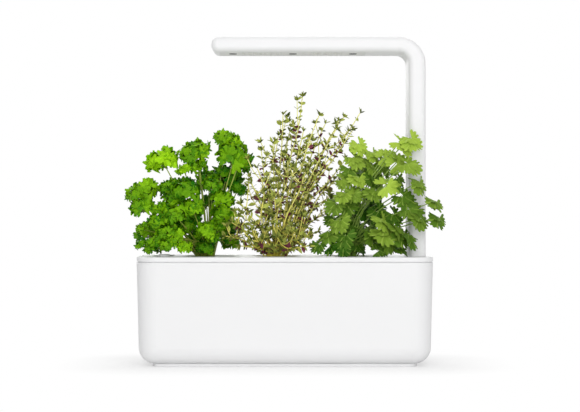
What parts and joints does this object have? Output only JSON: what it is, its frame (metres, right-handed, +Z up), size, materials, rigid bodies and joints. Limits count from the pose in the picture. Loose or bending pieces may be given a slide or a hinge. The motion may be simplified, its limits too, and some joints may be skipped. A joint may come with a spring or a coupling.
{
  "type": "indoor herb garden with lamp",
  "caption": "White self-watering indoor herb garden: tapered water tank, lid with plant cups and float, stacking arm and an overhanging LED grow lamp, with herbs growing in pods.",
  "frame": {"origin": "centre of the foot plate's underside, on the table", "axes": "+X along the front towards the lamp's arm, +Y to the back, +Z up"},
  "size_m": [0.326, 0.125, 0.3354],
  "materials": {
    "white_plastic": "satin white",
    "foot_plastic": "satin off-white",
    "cover_plastic": "matt white",
    "cup_plastic": "matt white",
    "pod_plastic": "matt grey",
    "foam": "closed-cell foam",
    "grip_rubber": "matt",
    "screw_steel": "plain",
    "contact_brass": "plain",
    "dark_plastic": "matt black",
    "cable_jacket": "soft jacket",
    "board_aluminium": "white coated",
    "board_green": "lacquered",
    "led_white": "clear resin",
    "led_red": "clear resin",
    "wick_felt": "felt",
    "soil": "crumbly",
    "cover_paper": "plain",
    "parsley": "leaf",
    "thyme": "leaf",
    "cilantro": "leaf"
  },
  "bodies": {
    "base": {"foot_plate": "foot_plastic", "foot_pads": "grip_rubber", "foot_screws": "screw_steel", "water_tank": "white_plastic", "power_inlet": "dark_plastic", "inlet_pin": "contact_brass", "tower_contact": "dark_plastic", "tower_cable": "cable_jacket"},
    "lid": {"tank_lid": "white_plastic"},
    "float": {"float_indicator": "white_plastic", "float_foam": "foam"},
    "left_planter": {"left_cup": "cup_plastic", "left_wick": "wick_felt"},
    "left_plant": {"left_pod": "pod_plastic", "left_soil": "soil", "left_pod_cover": "cover_paper", "parsley": "parsley"},
    "middle_planter": {"middle_cup": "cup_plastic", "middle_wick": "wick_felt"},
    "middle_plant": {"middle_pod": "pod_plastic", "middle_soil": "soil", "middle_pod_cover": "cover_paper", "thyme": "thyme"},
    "right_planter": {"right_cup": "cup_plastic", "right_wick": "wick_felt"},
    "right_plant": {"right_pod": "pod_plastic", "right_soil": "soil", "right_pod_cover": "cover_paper", "cilantro": "cilantro"},
    "lower_arm": {"lower_extension": "white_plastic", "lower_contact": "dark_plastic", "lower_plug": "dark_plastic", "lower_pins": "contact_brass", "lower_cable": "cable_jacket"},
    "upper_arm": {"upper_extension": "white_plastic", "upper_contact": "dark_plastic", "upper_plug": "dark_plastic", "upper_pins": "contact_brass", "upper_cable": "cable_jacket"},
    "lamp": {"lamp_housing": "white_plastic", "lamp_plug": "dark_plastic", "lamp_pins": "contact_brass", "lamp_cover": "cover_plastic", "lamp_screws": "screw_steel", "screw_plugs": "grip_rubber", "led_board": "board_aluminium", "white_leds": "led_white", "red_leds": "led_red", "timer_board": "board_green", "led_lead": "cable_jacket", "lamp_cable": "cable_jacket"}
  },
  "joints": [
    {"name": "lid_lift", "type": "slide", "parent": "base", "child": "lid", "axis": [0, 0, 1], "range_m": [0, 0.035]},
    {"name": "float_sink", "type": "slide", "parent": "lid", "child": "float", "axis": [0, 0, 1], "range_m": [-0.03, 0]},
    {"name": "lower_arm_lift", "type": "slide", "parent": "base", "child": "lower_arm", "axis": [0, 0, 1], "range_m": [0, 0.06]},
    {"name": "upper_arm_lift", "type": "slide", "parent": "lower_arm", "child": "upper_arm", "axis": [0, 0, 1], "range_m": [0, 0.06]},
    {"name": "lamp_lift", "type": "slide", "parent": "upper_arm", "child": "lamp", "axis": [0, 0, 1], "range_m": [0, 0.06]},
    {"name": "left_cup_lift", "type": "slide", "parent": "lid", "child": "left_planter", "axis": [0, 0, 1], "range_m": [0, 0.06]},
    {"name": "left_pod_lift", "type": "slide", "parent": "left_planter", "child": "left_plant", "axis": [0, 0, 1], "range_m": [0, 0.06]},
    {"name": "middle_cup_lift", "type": "slide", "parent": "lid", "child": "middle_planter", "axis": [0, 0, 1], "range_m": [0, 0.035]},
    {"name": "middle_pod_lift", "type": "slide", "parent": "middle_planter", "child": "middle_plant", "axis": [0, 0, 1], "range_m": [0, 0.035]},
    {"name": "right_cup_lift", "type": "slide", "parent": "lid", "child": "right_planter", "axis": [0, 0, 1], "range_m": [0, 0.06]},
    {"name": "right_pod_lift", "type": "slide", "parent": "right_planter", "child": "right_plant", "axis": [0, 0, 1], "range_m": [0, 0.06]}
  ]
}
